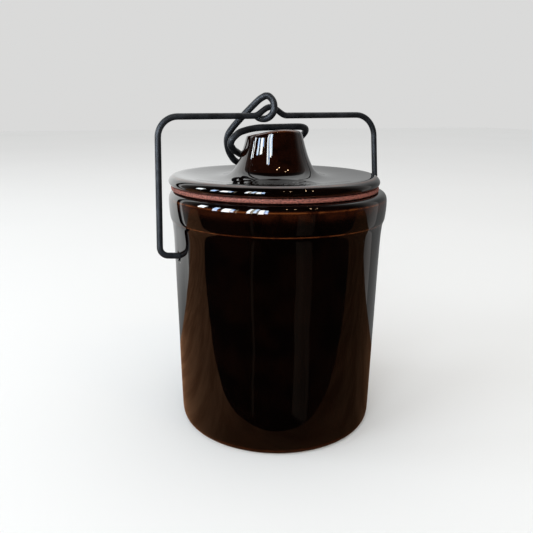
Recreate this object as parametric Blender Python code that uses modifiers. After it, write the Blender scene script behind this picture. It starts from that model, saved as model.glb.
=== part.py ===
"""Bail-top butter crock: stoneware pot, knobbed lid, rubber gasket, wire bail and wire clamp lever.

Five separate solids. All lengths are written in millimetres and turned into metres by mm().
X runs along the bail's hinge, -Y is the front, +Z is up, and the foot stands on Z = 0.
"""
import math

import bpy
from mathutils import Matrix, Vector

# ---------------------------------------------------------------- driving dimensions (mm)
ROUND_STEPS = 72            # facets round every turned piece
GAP = 0.3                   # air left between pieces that touch in use

RIM_R = 54.0                # widest point of the rolled rim
RIM_TOP_Z = 119.6           # flat lip that the gasket lies on
BODY_TOP_R = 52.0           # wall just under the collar
BODY_BASE_R = 50.3          # wall just above the foot
MOUTH_R = 46.7              # inside of the mouth
BORE_R = 45.2               # inside of the pot
FLOOR_Z = 7.5               # top of the inside floor
FOOT_IN_R = 38.0            # inner edge of the standing ring
FOOT_RECESS = 1.4           # how far the underside is hollowed inside the ring

HINGE_Z = 89.4              # bail's hinge line above the foot
PIN_HOLE_R = 2.35           # blind holes for the bail's ends
PIN_HOLE_DROP = 0.25        # the bail pulls up, so the holes' centres lie below its hinge line
PIN_HOLE_END_X = 47.6       # blind end of each hole

LID_X = -1.9                # the lid lies this far off the pot's axis, within its slack
LID_UNDER_Z = 122.25        # flat underside of the lid's flange
LID_R = 51.95               # widest point of the lid
PLUG_R = 44.4               # locating ring under the lid
PLUG_BOTTOM_Z = 116.8
KNOB_TOP_Z = 149.2
VALLEY_Z = 147.05           # lowest line of the worn seat across the knob's top
VALLEY_Y = 6.0              # where that line runs
VALLEY_R = 88.0             # radius of the seat's shallow curve
SEAT_FALL = 0.010           # how fast the seat falls away on the side where the wire bends down

GASKET_X = -1.5
GASKET_R = 51.2
GASKET_IN_R = 45.4
GASKET_Z0 = RIM_TOP_Z + GAP
GASKET_Z1 = LID_UNDER_Z - GAP

BAIL_WIRE_R = 1.475         # 9 gauge wire
LEVER_WIRE_R = 1.65         # 8 gauge wire
BAIL_LEFT_ARM = 64.9        # hinge line to the bail's top bar, at the left corner
BAIL_RIGHT_ARM = 66.0       # the bar is bent a little askew
BAIL_LEAN = 4.2             # degrees that the closed bail leans back
BAIL_TOP_X = 58.2           # half width at the top corners
BAIL_LOW_X = 60.9           # half width at the bottom corners
BAIL_LEFT_BEND = 9.8
BAIL_RIGHT_BEND = 11.2
BAIL_LOW_BEND = 4.2
PIN_END_X = 48.4            # tips of the bail's ends, inside the pot's holes
PIN_END_DROP = 0.1          # each end slopes down into its hole: tip below the hinge line,
PIN_CORNER_RISE = 1.3       # and corner above it
HUMP_X = -2.0               # centre of the raised hump that the lever hangs on
HUMP_RISE = 4.1
HUMP_HALF = 8.95            # half length of the hump along the bar


def mm(value):
    return value * 0.001


# ---------------------------------------------------------------- helpers
def clear_scene():
    for obj in list(bpy.data.objects):
        bpy.data.objects.remove(obj, do_unlink=True)


def material(name, rgb, roughness, metallic=0.0, coat=0.0):
    mat = bpy.data.materials.new(name)
    mat.use_nodes = True
    shader = mat.node_tree.nodes["Principled BSDF"]
    shader.inputs["Base Color"].default_value = (rgb[0], rgb[1], rgb[2], 1.0)
    shader.inputs["Roughness"].default_value = roughness
    shader.inputs["Metallic"].default_value = metallic
    shader.inputs["Coat Weight"].default_value = coat
    return mat


def collection(name):
    coll = bpy.data.collections.new(name)
    bpy.context.scene.collection.children.link(coll)
    return coll


def turned(name, profile, origin, mat, coll):
    """Solid of revolution about Z through origin; profile is (radius, world z) in mm."""
    mesh = bpy.data.meshes.new(name)
    verts = [(mm(r), 0.0, mm(z - origin[2])) for r, z in profile]
    edges = [(i, i + 1) for i in range(len(verts) - 1)]
    mesh.from_pydata(verts, edges, [])
    obj = bpy.data.objects.new(name, mesh)
    coll.objects.link(obj)
    obj.location = Vector([mm(c) for c in origin])
    screw = obj.modifiers.new("turn", "SCREW")
    screw.axis = "Z"
    screw.steps = ROUND_STEPS
    screw.render_steps = ROUND_STEPS
    screw.use_merge_vertices = True
    screw.merge_threshold = 0.00002
    screw.use_smooth_shade = True
    obj.data.materials.append(mat)
    return obj


def arc(cx, cz, radius, start, end, count):
    """Points on a circle in the profile plane, angles in degrees from +R towards +Z."""
    points = []
    for i in range(count + 1):
        a = math.radians(start + (end - start) * i / count)
        points.append((cx + radius * math.cos(a), cz + radius * math.sin(a)))
    return points


def bend_path(corners):
    """Straight runs joined by round bends; corners are (point, bend radius)."""
    path = [Vector(corners[0][0])]
    for i in range(1, len(corners) - 1):
        here = Vector(corners[i][0])
        radius = corners[i][1]
        back = (Vector(corners[i - 1][0]) - here).normalized()
        ahead = (Vector(corners[i + 1][0]) - here).normalized()
        if radius <= 0.0:
            path.append(here)
            continue
        half = back.angle(ahead) / 2.0
        reach = radius / math.tan(half)
        centre = here + (back + ahead).normalized() * (radius / math.sin(half))
        first = here + back * reach - centre
        last = here + ahead * reach - centre
        turn = first.angle(last)
        axis = first.cross(last).normalized()
        pieces = max(3, int(math.ceil(math.degrees(turn) / 15.0)))
        for k in range(pieces + 1):
            spin = Matrix.Rotation(turn * k / pieces, 3, axis)
            path.append(centre + spin @ first)
    path.append(Vector(corners[-1][0]))
    return path


def smooth_path(knots, per_span):
    """Centripetal Catmull-Rom curve through every knot."""
    pts = [Vector(k) for k in knots]
    pts = [pts[0] * 2.0 - pts[1]] + pts + [pts[-1] * 2.0 - pts[-2]]
    path = []
    for i in range(1, len(pts) - 2):
        a, b, c, d = pts[i - 1], pts[i], pts[i + 1], pts[i + 2]
        t0 = 0.0
        t1 = t0 + math.sqrt((b - a).length)
        t2 = t1 + math.sqrt((c - b).length)
        t3 = t2 + math.sqrt((d - c).length)
        for k in range(per_span):
            t = t1 + (t2 - t1) * k / per_span
            p = a * ((t1 - t) / (t1 - t0)) + b * ((t - t0) / (t1 - t0))
            q = b * ((t2 - t) / (t2 - t1)) + c * ((t - t1) / (t2 - t1))
            r = c * ((t3 - t) / (t3 - t2)) + d * ((t - t2) / (t3 - t2))
            u = p * ((t2 - t) / (t2 - t0)) + q * ((t - t0) / (t2 - t0))
            v = q * ((t3 - t) / (t3 - t1)) + r * ((t - t1) / (t3 - t1))
            path.append(u * ((t2 - t) / (t2 - t1)) + v * ((t - t1) / (t2 - t1)))
    path.append(pts[-2])
    return path


def wire(name, path, radius, origin, mat, coll):
    """Round wire along path (mm, world); its origin is placed on the piece's own hinge."""
    curve = bpy.data.curves.new(name, "CURVE")
    curve.dimensions = "3D"
    curve.bevel_depth = mm(radius)
    curve.bevel_resolution = 2
    curve.use_fill_caps = True
    curve.twist_mode = "MINIMUM"
    spline = curve.splines.new("POLY")
    spline.points.add(len(path) - 1)
    for point, place in zip(spline.points, path):
        local = place - Vector(origin)
        point.co = (mm(local.x), mm(local.y), mm(local.z), 1.0)
    spline.use_smooth = True
    obj = bpy.data.objects.new(name, curve)
    coll.objects.link(obj)
    obj.location = Vector([mm(c) for c in origin])
    obj.data.materials.append(mat)
    return obj


# ---------------------------------------------------------------- crock body
def crock_profile():
    inside = [(0.0, FLOOR_Z), (BORE_R - 9.0, FLOOR_Z)]
    inside += arc(BORE_R - 8.0, FLOOR_Z + 8.0, 8.0, -80.0, 0.0, 5)
    inside += [(BORE_R, 60.0), (BORE_R, 104.0), (BORE_R + 0.5, 109.0), (MOUTH_R, 113.0)]
    inside += [(MOUTH_R, RIM_TOP_Z - 1.2), (MOUTH_R + 0.35, RIM_TOP_Z - 0.35), (MOUTH_R + 1.2, RIM_TOP_Z)]
    rim = [(50.2, RIM_TOP_Z), (51.4, RIM_TOP_Z - 0.15), (52.5, RIM_TOP_Z - 0.6)]
    rim += [(53.35, RIM_TOP_Z - 1.45), (53.85, RIM_TOP_Z - 2.6), (RIM_R, RIM_TOP_Z - 4.2)]
    rim += [(RIM_R - 0.05, 112.2), (RIM_R - 0.25, 108.6), (RIM_R - 0.55, 106.4)]
    rim += [(53.15, 105.2), (52.7, 104.2), (52.42, 102.8), (52.2, 100.8), (BODY_TOP_R, 97.6)]
    wall = [(51.85, 92.5), (51.55, 75.0), (51.1, 50.0), (50.6, 20.0), (BODY_BASE_R, 5.0)]
    foot = [(50.15, 2.6), (49.75, 1.1), (48.9, 0.25), (48.0, 0.0)]
    foot += [(FOOT_IN_R, 0.0), (FOOT_IN_R - 1.2, 0.4), (FOOT_IN_R - 2.0, FOOT_RECESS), (0.0, FOOT_RECESS)]
    return inside + rim + wall + foot


def pin_hole_cutter(name, side, coll):
    """Round bar along X that cuts one of the two blind hinge holes."""
    start = PIN_HOLE_END_X
    end = 58.0
    count = 24
    z = HINGE_Z - PIN_HOLE_DROP
    verts = []
    for x in (start, end):
        for k in range(count):
            a = 2.0 * math.pi * k / count
            y = PIN_HOLE_R * math.cos(a)
            verts.append((mm(side * x), mm(y), mm(z + PIN_HOLE_R * math.sin(a))))
    faces = [tuple(range(count)), tuple(range(2 * count - 1, count - 1, -1))]
    for k in range(count):
        n = (k + 1) % count
        faces.append((k, count + k, count + n, n))
    if side > 0:
        faces = [tuple(reversed(f)) for f in faces]
    mesh = bpy.data.meshes.new(name)
    mesh.from_pydata(verts, [], faces)
    obj = bpy.data.objects.new(name, mesh)
    coll.objects.link(obj)
    obj.hide_render = True
    obj.display_type = "WIRE"
    return obj


def build_crock(mat, coll, cutters):
    body = turned("crock_body", crock_profile(), (0.0, 0.0, 0.0), mat, coll)
    for side in (-1, 1):
        cutter = pin_hole_cutter("pin_hole_cutter_" + ("left" if side < 0 else "right"), side, cutters)
        cut = body.modifiers.new("pin_hole", "BOOLEAN")
        cut.operation = "DIFFERENCE"
        cut.solver = "EXACT"
        cut.object = cutter
    return body


# ---------------------------------------------------------------- lid
def lid_profile():
    knob = [(0.0, KNOB_TOP_Z), (5.0, KNOB_TOP_Z), (9.5, KNOB_TOP_Z), (11.3, KNOB_TOP_Z - 0.05)]
    knob += [(12.4, KNOB_TOP_Z - 0.35), (13.2, KNOB_TOP_Z - 1.0), (13.65, KNOB_TOP_Z - 2.0)]
    knob += [(13.98, 144.6), (14.9, 141.0), (16.04, 137.4), (17.25, 134.1), (18.75, 130.9)]
    knob += [(20.0, 129.05), (21.7, 127.5), (23.8, 126.35), (26.5, 125.75)]
    top = [(31.0, 125.65), (38.0, 126.1), (44.0, 126.75), (47.5, 127.05)]
    edge = [(49.2, 126.95), (50.5, 126.4), (51.45, 125.5), (LID_R, 124.3), (51.75, 123.3), (51.1, 122.55)]
    edge += [(50.2, LID_UNDER_Z)]
    under = [(PLUG_R + 0.8, LID_UNDER_Z), (PLUG_R, LID_UNDER_Z - 0.7), (PLUG_R, PLUG_BOTTOM_Z + 1.0)]
    under += [(PLUG_R - 0.9, PLUG_BOTTOM_Z), (PLUG_R - 4.2, PLUG_BOTTOM_Z)]
    under += [(PLUG_R - 5.6, PLUG_BOTTOM_Z + 1.2), (34.0, 119.6), (20.0, 120.4), (0.0, 120.6)]
    return knob + top + edge + under


def seat_height(x, y):
    """Height of the knob's top at (x, y) from the lid's axis: a shallow seat along X, falling off at -X."""
    rise = (y - VALLEY_Y) ** 2 / (2.0 * VALLEY_R)
    fall = SEAT_FALL * min(x, 0.0) ** 2
    return min(KNOB_TOP_Z, VALLEY_Z + rise - fall)


def build_lid(mat, coll):
    origin = (LID_X, 0.0, LID_UNDER_Z)
    blank = turned("lid_blank", lid_profile(), origin, mat, coll)
    depsgraph = bpy.context.evaluated_depsgraph_get()
    mesh = bpy.data.meshes.new_from_object(blank.evaluated_get(depsgraph))
    bpy.data.objects.remove(blank, do_unlink=True)
    mesh.name = "lid"
    # The seat is worn into the knob's top, so every height above the shoulder is scaled down to it.
    shoulder = KNOB_TOP_Z - 4.2
    for vert in mesh.vertices:
        z = vert.co.z * 1000.0 + LID_UNDER_Z
        if z > shoulder:
            share = (z - shoulder) / (KNOB_TOP_Z - shoulder)
            seat = seat_height(vert.co.x * 1000.0, vert.co.y * 1000.0)
            new_z = shoulder + share * (seat - shoulder)
            vert.co.z = mm(new_z - LID_UNDER_Z)
    lid = bpy.data.objects.new("lid", mesh)
    coll.objects.link(lid)
    lid.location = Vector([mm(c) for c in origin])
    return lid


# ---------------------------------------------------------------- gasket
def build_gasket(mat, coll):
    z0 = GASKET_Z0
    z1 = GASKET_Z1
    mid = (z0 + z1) / 2.0
    inner = [(GASKET_IN_R + 0.3, z0), (GASKET_IN_R, z0 + 0.3)]
    inner += [(GASKET_IN_R, z1 - 0.3), (GASKET_IN_R + 0.3, z1)]
    outer = [(GASKET_R - 0.5, z1), (GASKET_R - 0.1, z1 - 0.35), (GASKET_R, mid), (GASKET_R - 0.1, z0 + 0.35)]
    outer += [(GASKET_R - 0.5, z0)]
    profile = inner + outer
    profile.append(profile[0])
    return turned("rubber_gasket", profile, (GASKET_X, 0.0, mid), mat, coll)


# ---------------------------------------------------------------- wires
def lean_back(point):
    """Turn a point drawn on the upright bail plane back to where the closed bail leans."""
    spin = Matrix.Rotation(math.radians(-BAIL_LEAN), 3, "X")
    hinge = Vector((0.0, 0.0, HINGE_Z))
    return hinge + spin @ (Vector(point) - hinge)


def bar_height(x):
    """Height of the upright bail's top bar above the hinge line."""
    share = (x + BAIL_TOP_X) / (2.0 * BAIL_TOP_X)
    return BAIL_LEFT_ARM + share * (BAIL_RIGHT_ARM - BAIL_LEFT_ARM)


def upright(x, height):
    """Point on the upright bail plane, height above the hinge line."""
    return (x, 0.0, HINGE_Z + height)


def bail_path():
    """Both halves from a bottom end up to the bar, joined by the hump."""
    tip = -PIN_END_DROP
    corner = PIN_CORNER_RISE
    start = HUMP_X - HUMP_HALF
    end = HUMP_X + HUMP_HALF
    left = [(upright(-PIN_END_X, tip), 0.0), (upright(-BAIL_LOW_X, corner), BAIL_LOW_BEND)]
    left += [(upright(-BAIL_TOP_X, BAIL_LEFT_ARM), BAIL_LEFT_BEND), (upright(start, bar_height(start)), 0.0)]
    right = [(upright(end, bar_height(end)), 0.0), (upright(BAIL_TOP_X, BAIL_RIGHT_ARM), BAIL_RIGHT_BEND)]
    right += [(upright(BAIL_LOW_X, corner), BAIL_LOW_BEND), (upright(PIN_END_X, tip), 0.0)]
    hump = []
    for k in range(1, 16):
        t = -1.0 + 2.0 * k / 16.0
        x = HUMP_X + HUMP_HALF * t
        height = bar_height(x) + HUMP_RISE * (0.5 + 0.5 * math.cos(math.pi * t))
        hump.append(Vector(upright(x, height)))
    whole = bend_path(left) + hump + bend_path(right)
    return [lean_back(p) for p in whole]


def hump_centre():
    return lean_back(upright(HUMP_X, bar_height(HUMP_X) + HUMP_RISE))


def lever_path():
    """One wire: an eye round the hump, a strand round the back of the knob, a bar over its top."""
    eye = [(-8.4, 9.3, 155.0), (-6.6, 7.8, 153.4), (-4.4, 3.6, 153.4), (-2.5, 1.1, 155.8)]
    eye += [(-1.8, 1.0, 158.9), (-2.3, 1.8, 161.9), (-4.4, 3.2, 164.0), (-6.8, 5.2, 162.9)]
    back = [(-10.2, 8.2, 159.1), (-15.7, 10.8, 152.9), (-18.9, 12.0, 149.1), (-21.0, 13.2, 145.6)]
    back += [(-21.3, 14.4, 142.2), (-20.0, 16.2, 138.0), (-17.6, 18.4, 134.6), (-14.4, 21.0, 131.8)]
    rise = [(-8.6, 24.2, 129.9), (0.5, 25.6, 129.8), (9.5, 23.6, 132.4), (16.4, 19.0, 138.4)]
    rise += [(20.4, 14.5, 144.0), (20.9, 11.3, 146.6), (19.6, 8.9, 148.2), (16.9, 7.2, 149.1)]
    bar = [(13.2, 6.5, 149.3), (6.0, 6.3, 149.2), (-0.8, 6.3, 149.1), (-7.6, 6.2, 148.9), (-12.5, 5.8, 148.3)]
    tail = [(-15.3, 5.2, 147.7), (-18.2, 4.6, 146.9), (-20.7, 4.0, 145.4), (-22.6, 4.0, 143.4)]
    tail += [(-22.9, 5.0, 141.1), (-21.7, 6.2, 139.6), (-20.1, 8.0, 138.3), (-17.4, 11.0, 137.1)]
    tail += [(-14.9, 14.1, 136.0), (-9.4, 19.1, 134.1)]
    return smooth_path(eye + back + rise + bar + tail, 5)


def main():
    clear_scene()
    parts = collection("parts")
    cutters = collection("cutters")
    glaze = material("glazed_stoneware", (0.016, 0.006, 0.004), 0.08, 0.0, 0.6)
    rubber = material("gasket_rubber", (0.33, 0.075, 0.055), 0.75)
    steel = material("dark_wire", (0.045, 0.048, 0.055), 0.42, 0.85)
    build_crock(glaze, parts, cutters)
    build_lid(glaze, parts)
    build_gasket(rubber, parts)
    wire("bail_wire", bail_path(), BAIL_WIRE_R, (0.0, 0.0, HINGE_Z), steel, parts)
    hump = hump_centre()
    wire("lever_wire", lever_path(), LEVER_WIRE_R, (hump.x, hump.y, hump.z), steel, parts)


main()
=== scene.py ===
"""Looks for the butter crock: glazed stoneware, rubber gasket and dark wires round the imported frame."""
import math

import bpy
import numpy as np
from mathutils import Matrix, Vector


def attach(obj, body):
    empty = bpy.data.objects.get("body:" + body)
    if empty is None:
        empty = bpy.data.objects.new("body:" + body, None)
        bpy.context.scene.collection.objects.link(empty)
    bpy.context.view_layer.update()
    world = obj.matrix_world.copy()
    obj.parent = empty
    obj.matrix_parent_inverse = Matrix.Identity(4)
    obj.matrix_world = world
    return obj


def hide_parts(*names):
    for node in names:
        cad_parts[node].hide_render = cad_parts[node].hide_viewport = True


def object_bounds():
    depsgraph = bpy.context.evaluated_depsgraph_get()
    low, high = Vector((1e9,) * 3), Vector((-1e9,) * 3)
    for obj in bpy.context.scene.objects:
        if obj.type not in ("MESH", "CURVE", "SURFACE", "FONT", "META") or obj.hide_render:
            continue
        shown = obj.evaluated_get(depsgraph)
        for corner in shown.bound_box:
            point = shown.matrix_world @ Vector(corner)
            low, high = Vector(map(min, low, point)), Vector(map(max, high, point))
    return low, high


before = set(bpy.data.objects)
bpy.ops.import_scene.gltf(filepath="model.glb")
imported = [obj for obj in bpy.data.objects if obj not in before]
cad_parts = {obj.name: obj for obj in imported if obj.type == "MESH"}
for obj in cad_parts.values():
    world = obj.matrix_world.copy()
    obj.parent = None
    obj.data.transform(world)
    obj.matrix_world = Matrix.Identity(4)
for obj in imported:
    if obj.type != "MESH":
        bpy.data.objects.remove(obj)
CAD_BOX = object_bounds()
MM = 0.001

# ---------------------------------------------------------------- sizes, in millimetres
LATHE_STEPS = 288
LID_X = -1.9
GASKET_X = -1.5
BAIL_WIRE_R = 1.475
LEVER_WIRE_R = 1.65
HINGE_Z = 89.4
PIN_HOLE_R = 2.35
PIN_HOLE_DROP = 0.25
PIN_HOLE_END_X = 47.6       # blind end of each hole
HOLE_FLARE = 1.3            # how much wider the rounded mouth of a hole ends
CUT_TO_X = 56.0             # a hole's cutter reaches past the wall to here
WIRE_SIDES = 28
END_ROUND = 0.5             # a wire's cut ends are rounded over this length


# ---------------------------------------------------------------- small maths helpers
def smooth(points, spans):
    """Centripetal Catmull-Rom curve through every point; spans is the count between two points."""
    pts = [np.array(p, float) for p in points]
    pts = [2 * pts[0] - pts[1]] + pts + [2 * pts[-1] - pts[-2]]
    out = []
    for i in range(1, len(pts) - 2):
        a, b, c, d = pts[i - 1:i + 3]
        t0 = 0.0
        t1 = t0 + math.sqrt(np.linalg.norm(b - a)) + 1e-9
        t2 = t1 + math.sqrt(np.linalg.norm(c - b)) + 1e-9
        t3 = t2 + math.sqrt(np.linalg.norm(d - c)) + 1e-9
        for k in range(spans):
            t = t1 + (t2 - t1) * k / spans
            p = (t1 - t) / (t1 - t0) * a + (t - t0) / (t1 - t0) * b
            q = (t2 - t) / (t2 - t1) * b + (t - t1) / (t2 - t1) * c
            r = (t3 - t) / (t3 - t2) * c + (t - t2) / (t3 - t2) * d
            u = (t2 - t) / (t2 - t0) * p + (t - t0) / (t2 - t0) * q
            v = (t3 - t) / (t3 - t1) * q + (t - t1) / (t3 - t1) * r
            out.append((t2 - t) / (t2 - t1) * u + (t - t1) / (t2 - t1) * v)
    out.append(pts[-2])
    return np.array(out)


def arc(cx, cz, radius, start, end, count):
    """Points on a circle in the profile plane, angles in degrees from +R towards +Z."""
    turns = [math.radians(start + (end - start) * i / count) for i in range(count + 1)]
    return [(cx + radius * math.cos(a), cz + radius * math.sin(a)) for a in turns]


def ripple(angle, height, seed, waves):
    """Smooth, small, repeatable unevenness round a turned piece, about -1 to 1."""
    rng = np.random.RandomState(seed)
    total = np.zeros(np.broadcast(angle, height).shape)
    for n in range(waves):
        k = rng.randint(1, 9)
        m = rng.uniform(0.02, 0.16)
        total = total + np.sin(k * angle + rng.uniform(0, 6.28)) * np.sin(m * height + rng.uniform(0, 6.28))
    return total / math.sqrt(waves)


# ---------------------------------------------------------------- mesh builders
def new_object(name, verts, faces, material):
    mesh = bpy.data.meshes.new(name)
    mesh.from_pydata(verts, [], faces)
    mesh.materials.append(material)
    mesh.update()
    mesh.shade_smooth()
    obj = bpy.data.objects.new(name, mesh)
    bpy.context.scene.collection.objects.link(obj)
    return obj


def inside_box(verts):
    """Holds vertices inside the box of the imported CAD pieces, which are slightly coarser."""
    return [tuple(v) for v in np.clip(np.asarray(verts), CAD_BOX[0], CAD_BOX[1])]


def add_value(obj, name, values):
    """Stores one number per vertex for a material to read."""
    layer = obj.data.attributes.new(name, "FLOAT", "POINT")
    layer.data.foreach_set("value", np.asarray(values, np.float32))


def lathe(name, profile, centre_x, material, marks=None, wobble=0.0, seed=1, closed=False, warp=None):
    """Turned piece. profile runs (radius, z) in mm; marks maps a value's name to a function of (r, z)."""
    prof = np.asarray(profile, float)
    steps = LATHE_STEPS
    ang = np.arange(steps) * 2 * math.pi / steps
    first_pole = (not closed) and prof[0, 0] < 1e-6
    last_pole = (not closed) and prof[-1, 0] < 1e-6
    rows = prof[1 if first_pole else 0:len(prof) - 1 if last_pole else len(prof)]
    r = rows[:, 0][:, None]
    z = rows[:, 1][:, None] + 0 * ang[None, :]
    rr = r + wobble * ripple(ang[None, :], rows[:, 1][:, None], seed, 9) * np.clip(r / 20.0, 0, 1)
    x = rr * np.cos(ang)[None, :]
    y = rr * np.sin(ang)[None, :]
    pts = np.stack([x, y, z], -1).reshape(-1, 3)
    if warp:
        pts = warp(pts)
    pts[:, 0] += centre_x
    verts = [tuple(p * MM) for p in pts]
    n = len(rows)
    faces = []
    for i in range(n if closed else n - 1):
        a = i * steps
        b = ((i + 1) % n) * steps
        for k in range(steps):
            m = (k + 1) % steps
            faces.append((a + k, b + k, b + m, a + m))
    poles = []
    for has_pole, row, flip in ((first_pole, 0, False), (last_pole, n - 1, True)):
        if not has_pole:
            continue
        centre = len(verts)
        height = np.mean(pts[row * steps:(row + 1) * steps, 2])
        verts.append((centre_x * MM, 0.0, height * MM))
        poles.append((0.0, prof[-1 if flip else 0, 1]))
        for k in range(steps):
            a = row * steps + k
            b = row * steps + (k + 1) % steps
            faces.append((centre, b, a) if flip else (centre, a, b))
    obj = new_object(name, inside_box(verts), faces, material)
    for key, rule in (marks or {}).items():
        row_values = np.array([rule(a, b) for a, b in rows])
        pole_values = np.array([rule(a, b) for a, b in poles])
        add_value(obj, key, np.concatenate([np.repeat(row_values, steps), pole_values]))
    return obj


def tube(name, path, radius, material):
    """Round wire swept along path (mm), with rounded-off ends and no twist."""
    path = np.asarray(path, float)
    sides = WIRE_SIDES
    steps = np.linalg.norm(np.diff(path, axis=0), axis=1)
    along = np.concatenate([[0], np.cumsum(steps)])
    tangent = np.gradient(path, axis=0)
    tangent /= np.linalg.norm(tangent, axis=1)[:, None]
    normal = np.cross(tangent[0], (0.0, 0.0, 1.0))
    if np.linalg.norm(normal) < 0.1:
        normal = np.cross(tangent[0], (0.0, 1.0, 0.0))
    normal /= np.linalg.norm(normal)
    ang = np.arange(sides) * 2 * math.pi / sides
    frames = []
    for i in range(len(path)):
        normal = normal - tangent[i] * np.dot(normal, tangent[i])
        normal /= np.linalg.norm(normal)
        frames.append((path[i], tangent[i], normal.copy(), np.cross(tangent[i], normal)))

    def ring(centre, n, b, size):
        return centre + size * (np.cos(ang)[:, None] * n + np.sin(ang)[:, None] * b)

    # Each end's rings: how far in from the end, as a share of END_ROUND, and how wide.
    cap = [(0.0, 0.45), (0.07, 0.72), (0.25, 0.9), (0.55, 0.985)]
    rings = []
    c, t, n, b = frames[0]
    for share, size in cap:
        rings.append(ring(c + t * END_ROUND * share, n, b, radius * size))
    for i in range(1, len(frames) - 1):
        c, t, n, b = frames[i]
        if min(along[i], along[-1] - along[i]) > END_ROUND + 0.2:
            rings.append(ring(c, n, b, radius))
    c, t, n, b = frames[-1]
    for share, size in reversed(cap):
        rings.append(ring(c - t * END_ROUND * share, n, b, radius * size))
    verts = [tuple(p * MM) for circle in rings for p in circle]
    faces = []
    for i in range(len(rings) - 1):
        for k in range(sides):
            m = (k + 1) % sides
            faces.append((i * sides + k, i * sides + m, (i + 1) * sides + m, (i + 1) * sides + k))
    faces.append(tuple(range(sides - 1, -1, -1)))
    faces.append(tuple((len(rings) - 1) * sides + k for k in range(sides)))
    return new_object(name, inside_box(verts), faces, material)


# ---------------------------------------------------------------- material helpers
class Nodes:
    """Short way to add and join shader nodes."""

    def __init__(self, name):
        self.mat = bpy.data.materials.new(name)
        self.mat.use_nodes = True
        self.tree = self.mat.node_tree
        self.shader = self.tree.nodes["Principled BSDF"]

    def add(self, kind, **settings):
        node = self.tree.nodes.new(kind)
        for key, value in settings.items():
            if key.startswith("in_"):
                name = key[3:]
                slot = node.inputs[int(name)] if name.isdigit() else node.inputs[name.replace("_", " ")]
                if isinstance(value, bpy.types.NodeSocket):
                    self.tree.links.new(value, slot)
                else:
                    slot.default_value = value
            else:
                setattr(node, key, value)
        return node

    def value(self, name):
        return self.add("ShaderNodeAttribute", attribute_name=name).outputs["Fac"]

    def where(self):
        return self.add("ShaderNodeTexCoord").outputs["Object"]

    def noise(self, scale, detail=3.0, rough=0.5, vector=None):
        node = self.add("ShaderNodeTexNoise", in_Scale=scale, in_Detail=detail, in_Roughness=rough,
                        in_Vector=vector if vector is not None else self.where())
        return node.outputs["Fac"]

    def stretched(self, scale):
        node = self.add("ShaderNodeMapping", in_Vector=self.where())
        node.inputs["Scale"].default_value = scale
        return node.outputs[0]

    def span(self, source, low, high, to_low=0.0, to_high=1.0):
        node = self.add("ShaderNodeMapRange", in_0=source, in_1=low, in_2=high, in_3=to_low, in_4=to_high)
        node.interpolation_type = "SMOOTHSTEP"
        return node.outputs[0]

    def maths(self, operation, a, b):
        return self.add("ShaderNodeMath", operation=operation, in_0=a, in_1=b).outputs[0]

    def mix(self, share, a, b):
        node = self.add("ShaderNodeMix", data_type="RGBA")
        for slot, value in ((0, share), (6, a), (7, b)):
            if isinstance(value, bpy.types.NodeSocket):
                self.tree.links.new(value, node.inputs[slot])
            else:
                node.inputs[slot].default_value = value if slot == 0 else (*value, 1.0)
        return node.outputs[2]

    def bump(self, height, distance, strength=1.0, under=None):
        node = self.add("ShaderNodeBump", in_Height=height, in_Distance=distance, in_Strength=strength)
        if under is not None:
            self.tree.links.new(under, node.inputs["Normal"])
        return node.outputs["Normal"]

    def wire(self, source, name):
        self.tree.links.new(source, self.shader.inputs[name])

    def fixed(self, name, value):
        self.shader.inputs[name].default_value = value


def glaze_material(name):
    """Glossy black-brown glaze: amber where it is thin, bare clay where the piece was wiped."""
    m = Nodes(name)
    cloud = m.noise(70.0, 3.0, 0.5)
    streak = m.noise(210.0, 3.0, 0.6)
    dark = m.mix(m.span(cloud, 0.38, 0.66), (0.0006, 0.0002, 0.00015), (0.0021, 0.0006, 0.0003))
    thin = m.maths("MULTIPLY", m.value("thin"), m.span(streak, 0.22, 0.6, 0.45, 1.15))
    colour = m.mix(m.span(thin, 0.02, 0.55), dark, (0.034, 0.0075, 0.0024))
    colour = m.mix(m.span(thin, 0.45, 1.0), colour, (0.15, 0.046, 0.010))
    speck = m.add("ShaderNodeTexVoronoi", in_Scale=420.0, in_Vector=m.where()).outputs["Distance"]
    speck_on = m.maths("MULTIPLY", m.span(speck, 0.10, 0.04), m.span(m.noise(90.0, 2.0), 0.62, 0.70))
    colour = m.mix(m.maths("MULTIPLY", speck_on, 0.35), colour, (0.035, 0.018, 0.010))
    bare = m.span(m.maths("ADD", m.value("bare"), m.maths("MULTIPLY", streak, 0.35)), 0.60, 0.72)
    clay = m.mix(m.noise(900.0, 4.0, 0.7), (0.36, 0.25, 0.16), (0.52, 0.40, 0.28))
    m.wire(m.mix(bare, colour, clay), "Base Color")
    m.wire(m.span(bare, 0.0, 1.0, 0.035, 0.85), "Roughness")
    m.fixed("IOR", 1.56)
    low = m.bump(m.noise(38.0, 2.0, 0.4), 0.00022, 1.0)
    fine = m.bump(m.noise(520.0, 2.0, 0.5), 0.0000045, 1.0, low)
    pit = m.bump(m.maths("MULTIPLY", speck_on, -1.0), 0.00004, 1.0, fine)
    m.wire(pit, "Normal")
    return m.mat


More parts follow.
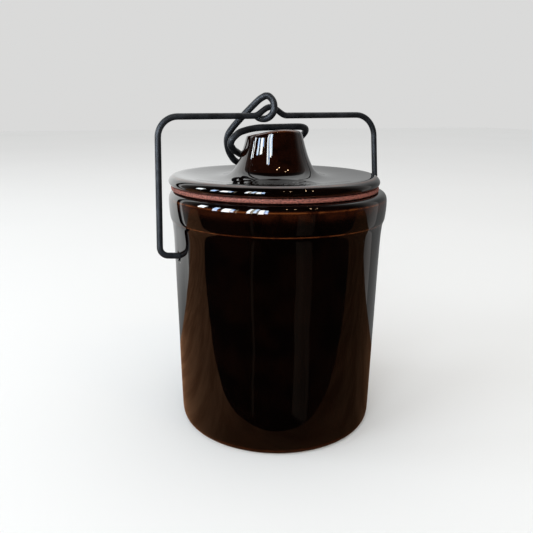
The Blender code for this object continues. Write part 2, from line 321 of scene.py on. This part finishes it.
def gasket_material():
    """Aged red-brown rubber with a short fibrous grain running round the ring."""
    m = Nodes("gasket_red")
    turn = m.add("ShaderNodeCombineXYZ", in_0=m.value("turn"), in_1=m.value("level"), in_2=0.0).outputs[0]
    fibre = m.noise(1.0, 5.0, 0.7, turn)
    patch = m.noise(120.0, 3.0, 0.6)
    colour = m.mix(m.span(fibre, 0.40, 0.62), (0.085, 0.022, 0.015), (0.42, 0.130, 0.088))
    colour = m.mix(m.span(patch, 0.52, 0.78, 0.0, 0.55), colour, (0.085, 0.034, 0.028))
    m.wire(colour, "Base Color")
    m.wire(m.span(fibre, 0.2, 0.8, 0.78, 0.62), "Roughness")
    m.fixed("Specular IOR Level", 0.3)
    m.wire(m.bump(fibre, 0.00016, 0.9), "Normal")
    return m.mat


def wire_material():
    """Dark, dulled steel wire with faint drawing lines and a few brown spots."""
    m = Nodes("wire_dark_steel")
    patch = m.noise(160.0, 4.0, 0.65)
    grain = m.noise(1500.0, 3.0, 0.6)
    colour = m.mix(m.span(patch, 0.35, 0.7), (0.011, 0.012, 0.014), (0.030, 0.033, 0.038))
    rust = m.maths("MULTIPLY", m.span(m.noise(420.0, 5.0, 0.7), 0.64, 0.74), 0.5)
    colour = m.mix(rust, colour, (0.050, 0.026, 0.016))
    m.wire(colour, "Base Color")
    m.fixed("Metallic", 0.55)
    m.wire(m.span(grain, 0.3, 0.7, 0.44, 0.58), "Roughness")
    m.wire(m.bump(grain, 0.00001, 0.6, m.bump(patch, 0.00005, 0.5)), "Normal")
    return m.mat


# ---------------------------------------------------------------- profiles (radius, z) in mm
def near(value, centre, width):
    """1 at centre, falling off smoothly over width on both sides."""
    return math.exp(-((value - centre) / width) ** 2)


def crock_profile():
    inside = [(0.0, 7.5), (18.0, 7.5), (36.0, 7.52)]
    inside += arc(37.2, 15.5, 8.0, -84.0, -4.0, 8)
    inside += [(45.2, 20.0), (45.2, 40.0), (45.2, 60.0), (45.2, 80.0), (45.2, 100.0), (45.3, 105.5)]
    inside += [(45.75, 109.4), (46.45, 112.2), (46.7, 114.4), (46.7, 118.0)]
    lip = arc(47.9, 118.4, 1.2, 172.0, 96.0, 5) + [(48.3, 119.6), (49.3, 119.6)]
    rim = [(50.3, 119.58), (51.4, 119.4), (52.4, 118.95), (53.2, 118.15), (53.7, 117.1), (53.95, 115.9)]
    rim += [(54.0, 114.6), (53.98, 112.6), (53.85, 110.2), (53.68, 108.3), (53.5, 107.0), (53.28, 106.1)]
    rim += [(52.98, 105.3), (52.72, 104.5), (52.52, 103.5), (52.34, 102.0), (52.17, 100.0), (52.03, 97.6)]
    wall = [(51.9, 94.0), (51.8, 90.0), (51.68, 84.0), (51.55, 75.0), (51.33, 62.0), (51.1, 50.0)]
    wall += [(50.87, 36.0), (50.62, 20.0), (50.45, 11.0), (50.35, 6.0)]
    foot = [(50.28, 4.2), (50.15, 2.9), (49.9, 1.8), (49.5, 0.95), (48.95, 0.35), (48.3, 0.06), (47.6, 0.0)]
    foot += [(44.0, 0.0), (40.0, 0.0), (38.3, 0.0), (37.6, 0.12), (37.0, 0.55), (36.3, 1.2), (35.4, 1.4)]
    foot += [(30.0, 1.4), (15.0, 1.4), (0.0, 1.4)]
    outline = smooth(inside + lip + rim + wall + foot, 3)
    outline[:, 1] = np.maximum(outline[:, 1], 0.0)
    return outline


def crock_thin(r, z):
    """How thin the glaze is, 0 to 1: at the lip, the rim's turn, the collar line and the foot."""
    if r < 47.0:
        return 0.15 * near(z, 118.8, 0.8)
    collar_line = 0.72 * near(z, 105.75, 0.30)
    rim_line = 0.62 * near(z, 116.5, 0.40) + (0.26 * near(z, 115.2, 3.0) if z < 116.5 else 0.0)
    lip = 0.25 * near(r, 49.0, 1.2) if z > 119 else 0.0
    foot = 0.35 * near(z, 1.9, 0.9)
    return max(collar_line, rim_line, lip, foot)


def crock_bare(r, z):
    """Where the standing ring was wiped clean of glaze."""
    return 1.0 if z < 0.5 and r < 48.8 else (0.3 if z < 1.2 else 0.0)


def lid_profile():
    knob = [(0.0, 149.2), (3.0, 149.2), (6.0, 149.2), (9.0, 149.19), (10.6, 149.1), (11.7, 148.85)]
    knob += [(12.55, 148.4), (13.1, 147.8), (13.42, 147.0), (13.62, 146.1), (13.86, 145.0), (14.32, 143.2)]
    knob += [(14.9, 141.0), (15.45, 139.2), (16.04, 137.3), (16.6, 135.7), (17.2, 134.2), (17.9, 132.6)]
    knob += [(18.75, 130.95), (19.7, 129.4), (20.8, 128.15), (22.2, 127.15), (23.8, 126.4), (26.0, 125.9)]
    top = [(29.0, 125.68), (33.0, 125.72), (38.0, 126.08), (43.0, 126.62), (46.2, 126.98), (48.0, 127.06)]
    edge = [(49.3, 126.95), (50.4, 126.45), (51.2, 125.75), (51.75, 124.95), (51.95, 124.15), (51.85, 123.4)]
    edge += [(51.45, 122.75), (50.85, 122.35), (50.1, 122.25)]
    under = [(49.0, 122.25), (46.5, 122.25), (45.6, 122.25), (45.0, 122.1), (44.6, 121.75), (44.4, 121.1)]
    under += [(44.4, 119.5), (44.4, 118.2), (44.25, 117.4), (43.8, 116.95), (43.1, 116.8), (41.6, 116.8)]
    under += [(40.4, 116.85), (39.6, 117.3), (38.8, 118.1), (36.8, 119.2), (33.5, 119.75), (26.0, 120.2)]
    under += [(18.0, 120.5), (9.0, 120.6), (0.0, 120.6)]
    return smooth(knob + top + edge + under, 3)


def lid_thin(r, z):
    """How thin the glaze is, 0 to 1: at the knob's edge and at both turns of the flange."""
    if z < 122.3:
        return 0.0
    knob_edge = 0.66 * near(z, 148.2, 0.8) if r > 10 else 0.0
    upper = 0.62 * near(r, 49.9, 0.6) if z > 125.2 else 0.0
    lower = 0.45 * near(z, 122.75, 0.3) if r > 50 else 0.0
    knob = 0.16 if r < 20 else 0.0
    return max(knob_edge, upper, lower, knob)


def lid_bare(r, z):
    """The band under the flange, where the lid sat in the kiln."""
    return 0.9 if z < 122.4 and 44.6 < r < 49.2 else 0.0


KNOB_TOP = 149.2
SHOULDER = KNOB_TOP - 4.2   # the knob keeps its turned shape below this height
VALLEY_Z = 147.05           # lowest line of the worn seat, at VALLEY_Y, with this radius across it
VALLEY_Y = 6.0
VALLEY_R = 88.0
SEAT_FALL = 0.010           # how fast the seat drops towards -X


def seat(points):
    """Wears a shallow seat for the wire across the knob's top."""
    out = points.copy()
    x, y, z = out.T
    rise = (y - VALLEY_Y) ** 2 / (2 * VALLEY_R)
    fall = SEAT_FALL * np.minimum(x, 0.0) ** 2
    wanted = np.minimum(KNOB_TOP, VALLEY_Z + rise - fall)
    share = np.clip((z - SHOULDER) / (KNOB_TOP - SHOULDER), 0, None)
    out[:, 2] = np.where(z > SHOULDER, SHOULDER + share * (wanted - SHOULDER), z)
    return out


def gasket_profile():
    z0, z1, mid = 119.9, 121.95, 120.925
    inner = [(46.4, z0 + 0.02), (45.8, z0 + 0.08), (45.5, z0 + 0.35), (45.42, mid), (45.5, z1 - 0.35)]
    inner += [(45.8, z1 - 0.08), (46.4, z1 - 0.02)]
    outer = [(48.5, z1), (50.4, z1 - 0.02), (50.95, z1 - 0.14), (51.16, z1 - 0.42), (51.2, mid)]
    outer += [(51.16, z0 + 0.42), (50.95, z0 + 0.14), (50.4, z0 + 0.02), (48.5, z0)]
    return np.array(inner + outer)


# ---------------------------------------------------------------- wire paths (mm)
BAIL_LEFT_ARM = 64.9
BAIL_RIGHT_ARM = 66.0
BAIL_LEAN = 4.2
BAIL_TOP_X = 58.2
BAIL_LOW_X = 60.9
BAIL_LEFT_BEND = 9.8
BAIL_RIGHT_BEND = 11.2
BAIL_LOW_BEND = 4.2
PIN_END_X = 48.4
PIN_END_DROP = 0.1
PIN_CORNER_RISE = 1.3
HUMP_X = -2.0
HUMP_RISE = 4.1
HUMP_HALF = 8.95


def bend_path(corners, spacing=1.2):
    """Straight runs joined by round bends; corners are (point, bend radius)."""
    path = [Vector(corners[0][0])]

    def run_to(point):
        start = path[-1]
        count = max(1, int((point - start).length / spacing))
        for k in range(1, count + 1):
            path.append(start.lerp(point, k / count))

    for i in range(1, len(corners) - 1):
        here = Vector(corners[i][0])
        radius = corners[i][1]
        back = (Vector(corners[i - 1][0]) - here).normalized()
        ahead = (Vector(corners[i + 1][0]) - here).normalized()
        half = back.angle(ahead) / 2.0
        reach = radius / math.tan(half)
        centre = here + (back + ahead).normalized() * (radius / math.sin(half))
        first = here + back * reach - centre
        last = here + ahead * reach - centre
        turn = first.angle(last)
        axis = first.cross(last).normalized()
        run_to(centre + first)
        pieces = max(6, int(math.ceil(math.degrees(turn) / 6.0)))
        for k in range(1, pieces + 1):
            path.append(centre + Matrix.Rotation(turn * k / pieces, 3, axis) @ first)
    run_to(Vector(corners[-1][0]))
    return path


def bar_height(x):
    """Height of the upright bail's top bar above the hinge line."""
    share = (x + BAIL_TOP_X) / (2.0 * BAIL_TOP_X)
    return BAIL_LEFT_ARM + share * (BAIL_RIGHT_ARM - BAIL_LEFT_ARM)


def upright(x, height):
    """A place on the bail while it stands straight up, at this height above its hinge line."""
    return (x, 0.0, HINGE_Z + height)


def bail_path():
    """Both halves from a bottom end up to the bar, joined by the hump, then leaned back."""
    tip = -PIN_END_DROP
    corner = PIN_CORNER_RISE
    start = HUMP_X - HUMP_HALF
    end = HUMP_X + HUMP_HALF
    left = [(upright(-PIN_END_X, tip), 0.0), (upright(-BAIL_LOW_X, corner), BAIL_LOW_BEND)]
    left += [(upright(-BAIL_TOP_X, BAIL_LEFT_ARM), BAIL_LEFT_BEND), (upright(start, bar_height(start)), 0.0)]
    right = [(upright(end, bar_height(end)), 0.0), (upright(BAIL_TOP_X, BAIL_RIGHT_ARM), BAIL_RIGHT_BEND)]
    right += [(upright(BAIL_LOW_X, corner), BAIL_LOW_BEND), (upright(PIN_END_X, tip), 0.0)]
    hump = []
    for k in range(1, 40):
        t = -1.0 + 2.0 * k / 40.0
        x = HUMP_X + HUMP_HALF * t
        height = bar_height(x) + HUMP_RISE * (0.5 + 0.5 * math.cos(math.pi * t))
        hump.append(Vector(upright(x, height)))
    hinge = Vector((0.0, 0.0, HINGE_Z))
    spin = Matrix.Rotation(math.radians(-BAIL_LEAN), 3, "X")
    path = bend_path(left) + hump + bend_path(right)
    return [tuple(hinge + spin @ (p - hinge)) for p in path]


def lever_path():
    """One wire: an eye round the hump, a strand round the back of the knob, a bar over its top."""
    eye = [(-8.4, 9.3, 155.0), (-6.6, 7.8, 153.4), (-4.4, 3.6, 153.4), (-2.5, 1.1, 155.8)]
    eye += [(-1.8, 1.0, 158.9), (-2.3, 1.8, 161.9), (-4.4, 3.2, 164.0), (-6.8, 5.2, 162.9)]
    back = [(-10.2, 8.2, 159.1), (-15.7, 10.8, 152.9), (-18.9, 12.0, 149.1), (-21.0, 13.2, 145.6)]
    back += [(-21.3, 14.4, 142.2), (-20.0, 16.2, 138.0), (-17.6, 18.4, 134.6), (-14.4, 21.0, 131.8)]
    rise = [(-8.6, 24.2, 129.9), (0.5, 25.6, 129.8), (9.5, 23.6, 132.4), (16.4, 19.0, 138.4)]
    rise += [(20.4, 14.5, 144.0), (20.9, 11.3, 146.6), (19.6, 8.9, 148.2), (16.9, 7.2, 149.1)]
    bar = [(13.2, 6.5, 149.3), (6.0, 6.3, 149.2), (-0.8, 6.3, 149.1), (-7.6, 6.2, 148.9)]
    bar += [(-12.5, 5.8, 148.3)]
    tail = [(-15.3, 5.2, 147.7), (-18.2, 4.6, 146.9), (-20.7, 4.0, 145.4), (-22.6, 4.0, 143.4)]
    tail += [(-22.9, 5.0, 141.1), (-21.7, 6.2, 139.6), (-20.1, 8.0, 138.3), (-17.4, 11.0, 137.1)]
    tail += [(-14.9, 14.1, 136.0), (-9.4, 19.1, 134.1)]
    return smooth(eye + back + rise + bar + tail, 9)


# ---------------------------------------------------------------- pieces
def hole_cutter(side, material):
    """Turned cutter for one blind hinge hole, flared where the glaze rounds the hole's mouth."""
    end = PIN_HOLE_END_X
    wide = PIN_HOLE_R
    shape = [(end, 0.0), (end, wide - 0.25), (end + 0.3, wide), (51.0, wide), (51.45, wide + 0.12)]
    shape += [(51.85, wide + 0.5), (52.3, wide + HOLE_FLARE), (CUT_TO_X, wide + HOLE_FLARE), (CUT_TO_X, 0.0)]
    count = 48
    z = HINGE_Z - PIN_HOLE_DROP
    verts = []
    for x, radius in shape:
        size = max(radius, 0.001)
        for k in range(count):
            a = 2 * math.pi * k / count
            verts.append((side * x * MM, size * math.cos(a) * MM, (z + size * math.sin(a)) * MM))
    faces = []
    for i in range(len(shape) - 1):
        for k in range(count):
            m = (k + 1) % count
            faces.append((i * count + k, (i + 1) * count + k, (i + 1) * count + m, i * count + m))
    faces.append(tuple(range(count)))
    faces.append(tuple((len(shape) - 1) * count + k for k in range(count - 1, -1, -1)))
    if side > 0:
        faces = [face[::-1] for face in faces]
    return new_object("hole_cutter", verts, faces, material)


def build_crock(material):
    crock = lathe("crock_glazed", crock_profile(), 0.0, material,
                  {"thin": crock_thin, "bare": crock_bare}, wobble=0.05, seed=3)
    for side in (-1, 1):
        cutter = hole_cutter(side, material)
        cut = crock.modifiers.new("hole", "BOOLEAN")
        cut.operation = "DIFFERENCE"
        cut.solver = "EXACT"
        cut.object = cutter
        bpy.context.view_layer.update()
        done = bpy.data.meshes.new_from_object(crock.evaluated_get(bpy.context.evaluated_depsgraph_get()))
        crock.modifiers.clear()
        crock.data = done
        bpy.data.objects.remove(cutter, do_unlink=True)
    crock.data.shade_smooth()
    return crock


def build_gasket(material):
    gasket = lathe("gasket_ring", gasket_profile(), GASKET_X, material, wobble=0.05, seed=8, closed=True)
    co = np.empty(len(gasket.data.vertices) * 3, np.float32)
    gasket.data.vertices.foreach_get("co", co)
    co = co.reshape(-1, 3)
    add_value(gasket, "turn", np.abs(np.arctan2(co[:, 1], co[:, 0] - GASKET_X * MM)) * 55.0)
    add_value(gasket, "level", co[:, 2] * 1700.0)
    return gasket


glaze = glaze_material("glaze_black_brown")
crock = build_crock(glaze)
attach(crock, "crock")
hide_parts("crock_body")

lid = lathe("lid_glazed", lid_profile(), LID_X, glaze, {"thin": lid_thin, "bare": lid_bare},
            wobble=0.05, seed=5, warp=seat)
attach(lid, "lid")
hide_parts("lid")

gasket = build_gasket(gasket_material())
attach(gasket, "lid")
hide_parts("rubber_gasket")

steel = wire_material()
bail = tube("bail_round_wire", bail_path(), BAIL_WIRE_R, steel)
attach(bail, "bail")
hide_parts("bail_wire")

lever = tube("lever_round_wire", lever_path(), LEVER_WIRE_R, steel)
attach(lever, "lever")
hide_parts("lever_wire")

# ---------------------------------------------------------------- camera
VIEW_TURN = math.radians(25.2)      # the camera stands this far round to the left of the bail's square view
SENSOR = 36.0                       # millimetres
FOCAL = 38.499                      # millimetres
DISTANCE = 0.2860                   # metres, as is the height above the floor
HEIGHT = 0.1580
PITCH = math.radians(15.485)
YAW = math.radians(-1.0425)
ROLL = math.radians(0.42)


def to_frame(v):
    """Turns a vector from the camera's floor axes (right, away, up) into the row's axes."""
    c, s = math.cos(VIEW_TURN), math.sin(VIEW_TURN)
    return Vector((v[0] * c + v[1] * s, -v[0] * s + v[1] * c, v[2]))


def make_camera():
    data = bpy.data.cameras.new("camera")
    cam = bpy.data.objects.new("camera", data)
    bpy.context.scene.collection.objects.link(cam)
    data.sensor_width = SENSOR
    data.lens = FOCAL
    data.clip_start = 0.01
    data.clip_end = 60.0
    forward = Vector((math.sin(YAW) * math.cos(PITCH), math.cos(YAW) * math.cos(PITCH), -math.sin(PITCH)))
    right = Vector((math.cos(YAW), -math.sin(YAW), 0.0))
    up = right.cross(forward)
    tilted_right = math.cos(ROLL) * right + math.sin(ROLL) * up
    tilted_up = -math.sin(ROLL) * right + math.cos(ROLL) * up
    axes = [to_frame(tilted_right), to_frame(tilted_up), -to_frame(forward)]
    turn = Matrix((axes[0], axes[1], axes[2])).transposed().to_4x4()
    cam.matrix_world = Matrix.Translation(to_frame((0.0, -DISTANCE, HEIGHT))) @ turn
    bpy.context.scene.camera = cam


make_camera()


# ---------------------------------------------------------------- stage and light (metres)
RIM_HEIGHT = 0.12       # where the angles to windows, lamps and cards are measured from
ROOM_REACH = 1.6        # how far off the mirrored windows and lamps stand
LIGHT_REACH = 1.5       # how far off the window lights stand
FLOOR_HALF = 4.0
WALL_BACK = 0.080       # a pale wall this far behind the crock shows in the glaze
WALL_LEFT = -0.30
WALL_RIGHT = 0.20
WALL_TOP = 0.9
SHELF_FRONT = -0.070    # a wooden shelf ends this far in front of the crock's middle
SHELF_HALF = 1.2
SKY = (0.86, 0.93, 1.0)
WARM = (1.0, 0.70, 0.40)


def make_floor():
    m = Nodes("floor_pale")
    m.wire(m.mix(m.noise(2.5, 3.0, 0.5), (0.79, 0.785, 0.77), (0.82, 0.815, 0.80)), "Base Color")
    m.fixed("Roughness", 1.0)
    m.fixed("Specular IOR Level", 0.0)
    half = FLOOR_HALF
    verts = [(-half, -half, 0.0), (half, -half, 0.0), (half, half, 0.0), (-half, half, 0.0)]
    floor = new_object("floor", verts, [(0, 1, 2, 3)], m.mat)
    floor.visible_glossy = False


def glow_material(name, low, high, scale, strength, fade=None):
    """Uneven glow for a card that only shows in the glaze and the wires.

    fade is (direction, start, end, share): before start along direction only that share of it is left, a
    painted shade across the glow.
    """
    m = Nodes(name)
    tone = m.mix(m.span(m.noise(1.0, 3.0, 0.6, m.stretched(scale)), 0.35, 0.65), low, high)
    if fade:
        direction, start, end, share = fade
        along = to_frame(direction)
        dot = m.add("ShaderNodeVectorMath", operation="DOT_PRODUCT", in_0=m.where(), in_1=along)
        tone = m.mix(m.span(dot.outputs["Value"], start, end, share, 1.0), (0.0, 0.0, 0.0), tone)
    m.fixed("Base Color", (0.0, 0.0, 0.0, 1.0))
    m.fixed("Roughness", 1.0)
    m.fixed("Specular IOR Level", 0.0)
    m.wire(tone, "Emission Color")
    m.fixed("Emission Strength", strength)
    return m.mat


def card(name, corners, material):
    """Flat card in the camera's floor axes (metres), seen only as a reflection."""
    obj = new_object(name, [to_frame(c) for c in corners], [(0, 1, 2, 3)], material)
    obj.visible_camera = False
    obj.visible_diffuse = False
    obj.visible_shadow = False
    obj.visible_transmission = False


def spot_at(turn, lift, distance):
    """Place seen from the rim at this turn right of the camera and this lift, in degrees."""
    a = math.radians(turn)
    e = math.radians(lift)
    flat = distance * math.cos(e)
    return (flat * math.sin(a), -flat * math.cos(a), RIM_HEIGHT + distance * math.sin(e))


def upright_card(name, turn, wide, low, high, distance, material):
    """Upright card facing the crock; turn, wide, low and high are angles seen from its rim, in degrees."""
    a = math.radians(turn)
    half = distance * math.tan(math.radians(wide / 2.0))
    middle = (distance * math.sin(a), -distance * math.cos(a))
    side = (math.cos(a) * half, math.sin(a) * half)
    bottom = RIM_HEIGHT + distance * math.tan(math.radians(low))
    top = RIM_HEIGHT + distance * math.tan(math.radians(high))
    corners = []
    for sign, z in ((-1, bottom), (1, bottom), (1, top), (-1, top)):
        corners.append((middle[0] + sign * side[0], middle[1] + sign * side[1], z))
    card(name, corners, material)


def area_light(name, place, target, width, height, power, colour, mirrored=False):
    """place and target are in the camera's floor axes, in metres."""
    data = bpy.data.lights.new(name, "AREA")
    data.shape = "RECTANGLE"
    data.size = width
    data.size_y = height
    data.energy = power
    data.color = colour
    obj = bpy.data.objects.new(name, data)
    bpy.context.scene.collection.objects.link(obj)
    start = to_frame(place)
    obj.location = start
    obj.rotation_mode = "QUATERNION"
    obj.rotation_quaternion = (to_frame(target) - start).to_track_quat("-Z", "Y")
    obj.visible_glossy = mirrored


def make_world():
    """Pale to the eye and as fill light; in mirror-like reflections dark in front and paler behind."""
    world = bpy.data.worlds.new("studio")
    bpy.context.scene.world = world
    world.use_nodes = True
    tree = world.node_tree
    tree.nodes.clear()
    out = tree.nodes.new("ShaderNodeOutputWorld")
    background = tree.nodes.new("ShaderNodeBackground")
    where = tree.nodes.new("ShaderNodeTexCoord")
    dot = tree.nodes.new("ShaderNodeVectorMath")
    dot.operation = "DOT_PRODUCT"
    dot.inputs[1].default_value = to_frame((0.0, 1.0, 0.0))
    ramp = tree.nodes.new("ShaderNodeValToRGB")
    span = tree.nodes.new("ShaderNodeMapRange")
    span.inputs[1].default_value = -1.0
    span.inputs[2].default_value = 1.0
    links = tree.links
    links.new(where.outputs["Generated"], dot.inputs[0])
    links.new(dot.outputs["Value"], span.inputs[0])
    links.new(span.outputs[0], ramp.inputs[0])
    stops = ramp.color_ramp.elements
    stops[0].position = 0.0
    stops[0].color = (0.008, 0.006, 0.005, 1.0)
    stops[1].position = 1.0
    stops[1].color = (0.70, 0.71, 0.72, 1.0)
    for place, shade in ((0.45, 0.011), (0.56, 0.09), (0.72, 0.45)):
        stop = stops.new(place)
        stop.color = (shade, shade * 0.95, shade * 0.92, 1.0)
    ray = tree.nodes.new("ShaderNodeLightPath")
    pale = tree.nodes.new("ShaderNodeMix")
    pale.data_type = "RGBA"
    pale.inputs[6].default_value = (0.70, 0.70, 0.695, 1.0)
    links.new(ray.outputs["Is Glossy Ray"], pale.inputs[0])
    links.new(ramp.outputs[0], pale.inputs[7])
    fill = tree.nodes.new("ShaderNodeMix")
    fill.data_type = "RGBA"
    fill.inputs[7].default_value = (0.84, 0.85, 0.86, 1.0)
    links.new(ray.outputs["Is Diffuse Ray"], fill.inputs[0])
    links.new(pale.outputs[2], fill.inputs[6])
    links.new(fill.outputs[2], background.inputs["Color"])
    links.new(background.outputs[0], out.inputs[0])


def make_mirrored_room():
    """The wall behind and the shelf below, as the glaze shows them."""
    # Painted shade: the wall's glow falls to 13 per cent towards its foot, most on the right, as the crock's
    # shadow on the wall.
    wall = glow_material("glow_wall", (0.66, 0.67, 0.67), (0.82, 0.83, 0.82), (9.0, 9.0, 9.0), 2.2,
                         ((-0.6, 0.0, 1.0), 0.05, 0.26, 0.13))
    card("mirror_wall", ((WALL_LEFT, WALL_BACK, 0.0), (WALL_RIGHT, WALL_BACK, 0.0),
                         (WALL_RIGHT, WALL_BACK, WALL_TOP), (WALL_LEFT, WALL_BACK, WALL_TOP)), wall)
    # Painted shade: the shelf's glow falls to 30 per cent towards its right and front.
    shelf = glow_material("glow_shelf", (0.24, 0.11, 0.055), (0.38, 0.19, 0.10), (12.0, 60.0, 1.0), 1.0,
                          ((-1.0, 0.6, 0.0), -0.06, 0.05, 0.30))
    card("mirror_shelf", ((-SHELF_HALF, SHELF_FRONT, 0.0), (SHELF_HALF, SHELF_FRONT, 0.0),
                          (SHELF_HALF, WALL_BACK, 0.0), (-SHELF_HALF, WALL_BACK, 0.0)), shelf)


def make_mirrored_windows():
    """Window panes and their frames to the left, and two faint pale uprights further down."""
    blue = glow_material("glow_pane_blue", (0.30, 0.52, 1.0), (0.80, 0.93, 1.0), (5.0, 5.0, 4.0), 20.0)
    white = glow_material("glow_pane_white", (0.72, 0.84, 0.95), (1.0, 0.96, 0.86), (6.0, 6.0, 5.0), 26.0)
    edge = glow_material("glow_frame_edge", (0.75, 0.66, 0.42), (1.0, 0.93, 0.72), (4.0, 4.0, 9.0), 7.0)
    # Turn, width, lowest and highest angle in degrees, and the material.
    panes = [(-28.0, 3.4, 4, 42, white), (-24.6, 2.0, 3, 44, edge), (-21.6, 3.4, 8, 43, blue)]
    panes += [(-15.5, 5.2, 2, 35, white), (-10.6, 3.6, 5, 33, blue), (-18.6, 0.7, 0, 30, edge)]
    panes += [(-64.0, 6.0, 2, 27, blue), (-52.0, 8.0, 2, 28, white), (-45.5, 3.4, 4, 26, blue)]
    panes += [(-40.8, 0.8, 0, 28, edge), (-83.0, 9.0, 10, 27, white)]
    for number, (turn, wide, low, high, material) in enumerate(panes):
        upright_card("pane_%d" % number, turn, wide, low, high, ROOM_REACH, material)
    haze = glow_material("glow_haze", (0.035, 0.026, 0.020), (0.085, 0.066, 0.052), (3.0, 3.0, 0.8), 1.0)
    upright_card("haze_right", 29.0, 17.0, -34, -2, ROOM_REACH, haze)
    upright_card("haze_left", -25.0, 2.5, -34, -2, ROOM_REACH, haze)


def make_lights():
    """Three soft windows on the left, a soft top light, and four small lamps that glint in the glaze."""
    middle = (0, 0, 0.10)
    # Name, turn, lift, width and power; all stand 0.7 m tall.
    windows = [("near", -20, 24, 0.55, 6.0), ("mid", -58, 24, 0.65, 7.0), ("far", -88, 26, 0.5, 4.0)]
    for name, turn, lift, wide, power in windows:
        area_light("window_" + name, spot_at(turn, lift, LIGHT_REACH), middle, wide, 0.7, power, SKY)
    area_light("top_soft", (0.1, 0.15, 1.7), (0, 0, 0.05), 1.6, 1.6, 2.5, (1.0, 0.98, 0.95))
    for number, (turn, lift) in enumerate(((13, 52), (22, 48), (46, 54), (52, 49))):
        place = spot_at(turn, lift, ROOM_REACH)
        area_light("lamp_%d" % number, place, (0, 0, RIM_HEIGHT), 0.03, 0.03, 0.35, WARM, True)


make_floor()
make_world()
make_mirrored_room()
make_mirrored_windows()
make_lights()

view = bpy.context.scene.view_settings
view.view_transform = "Standard"
view.look = "None"
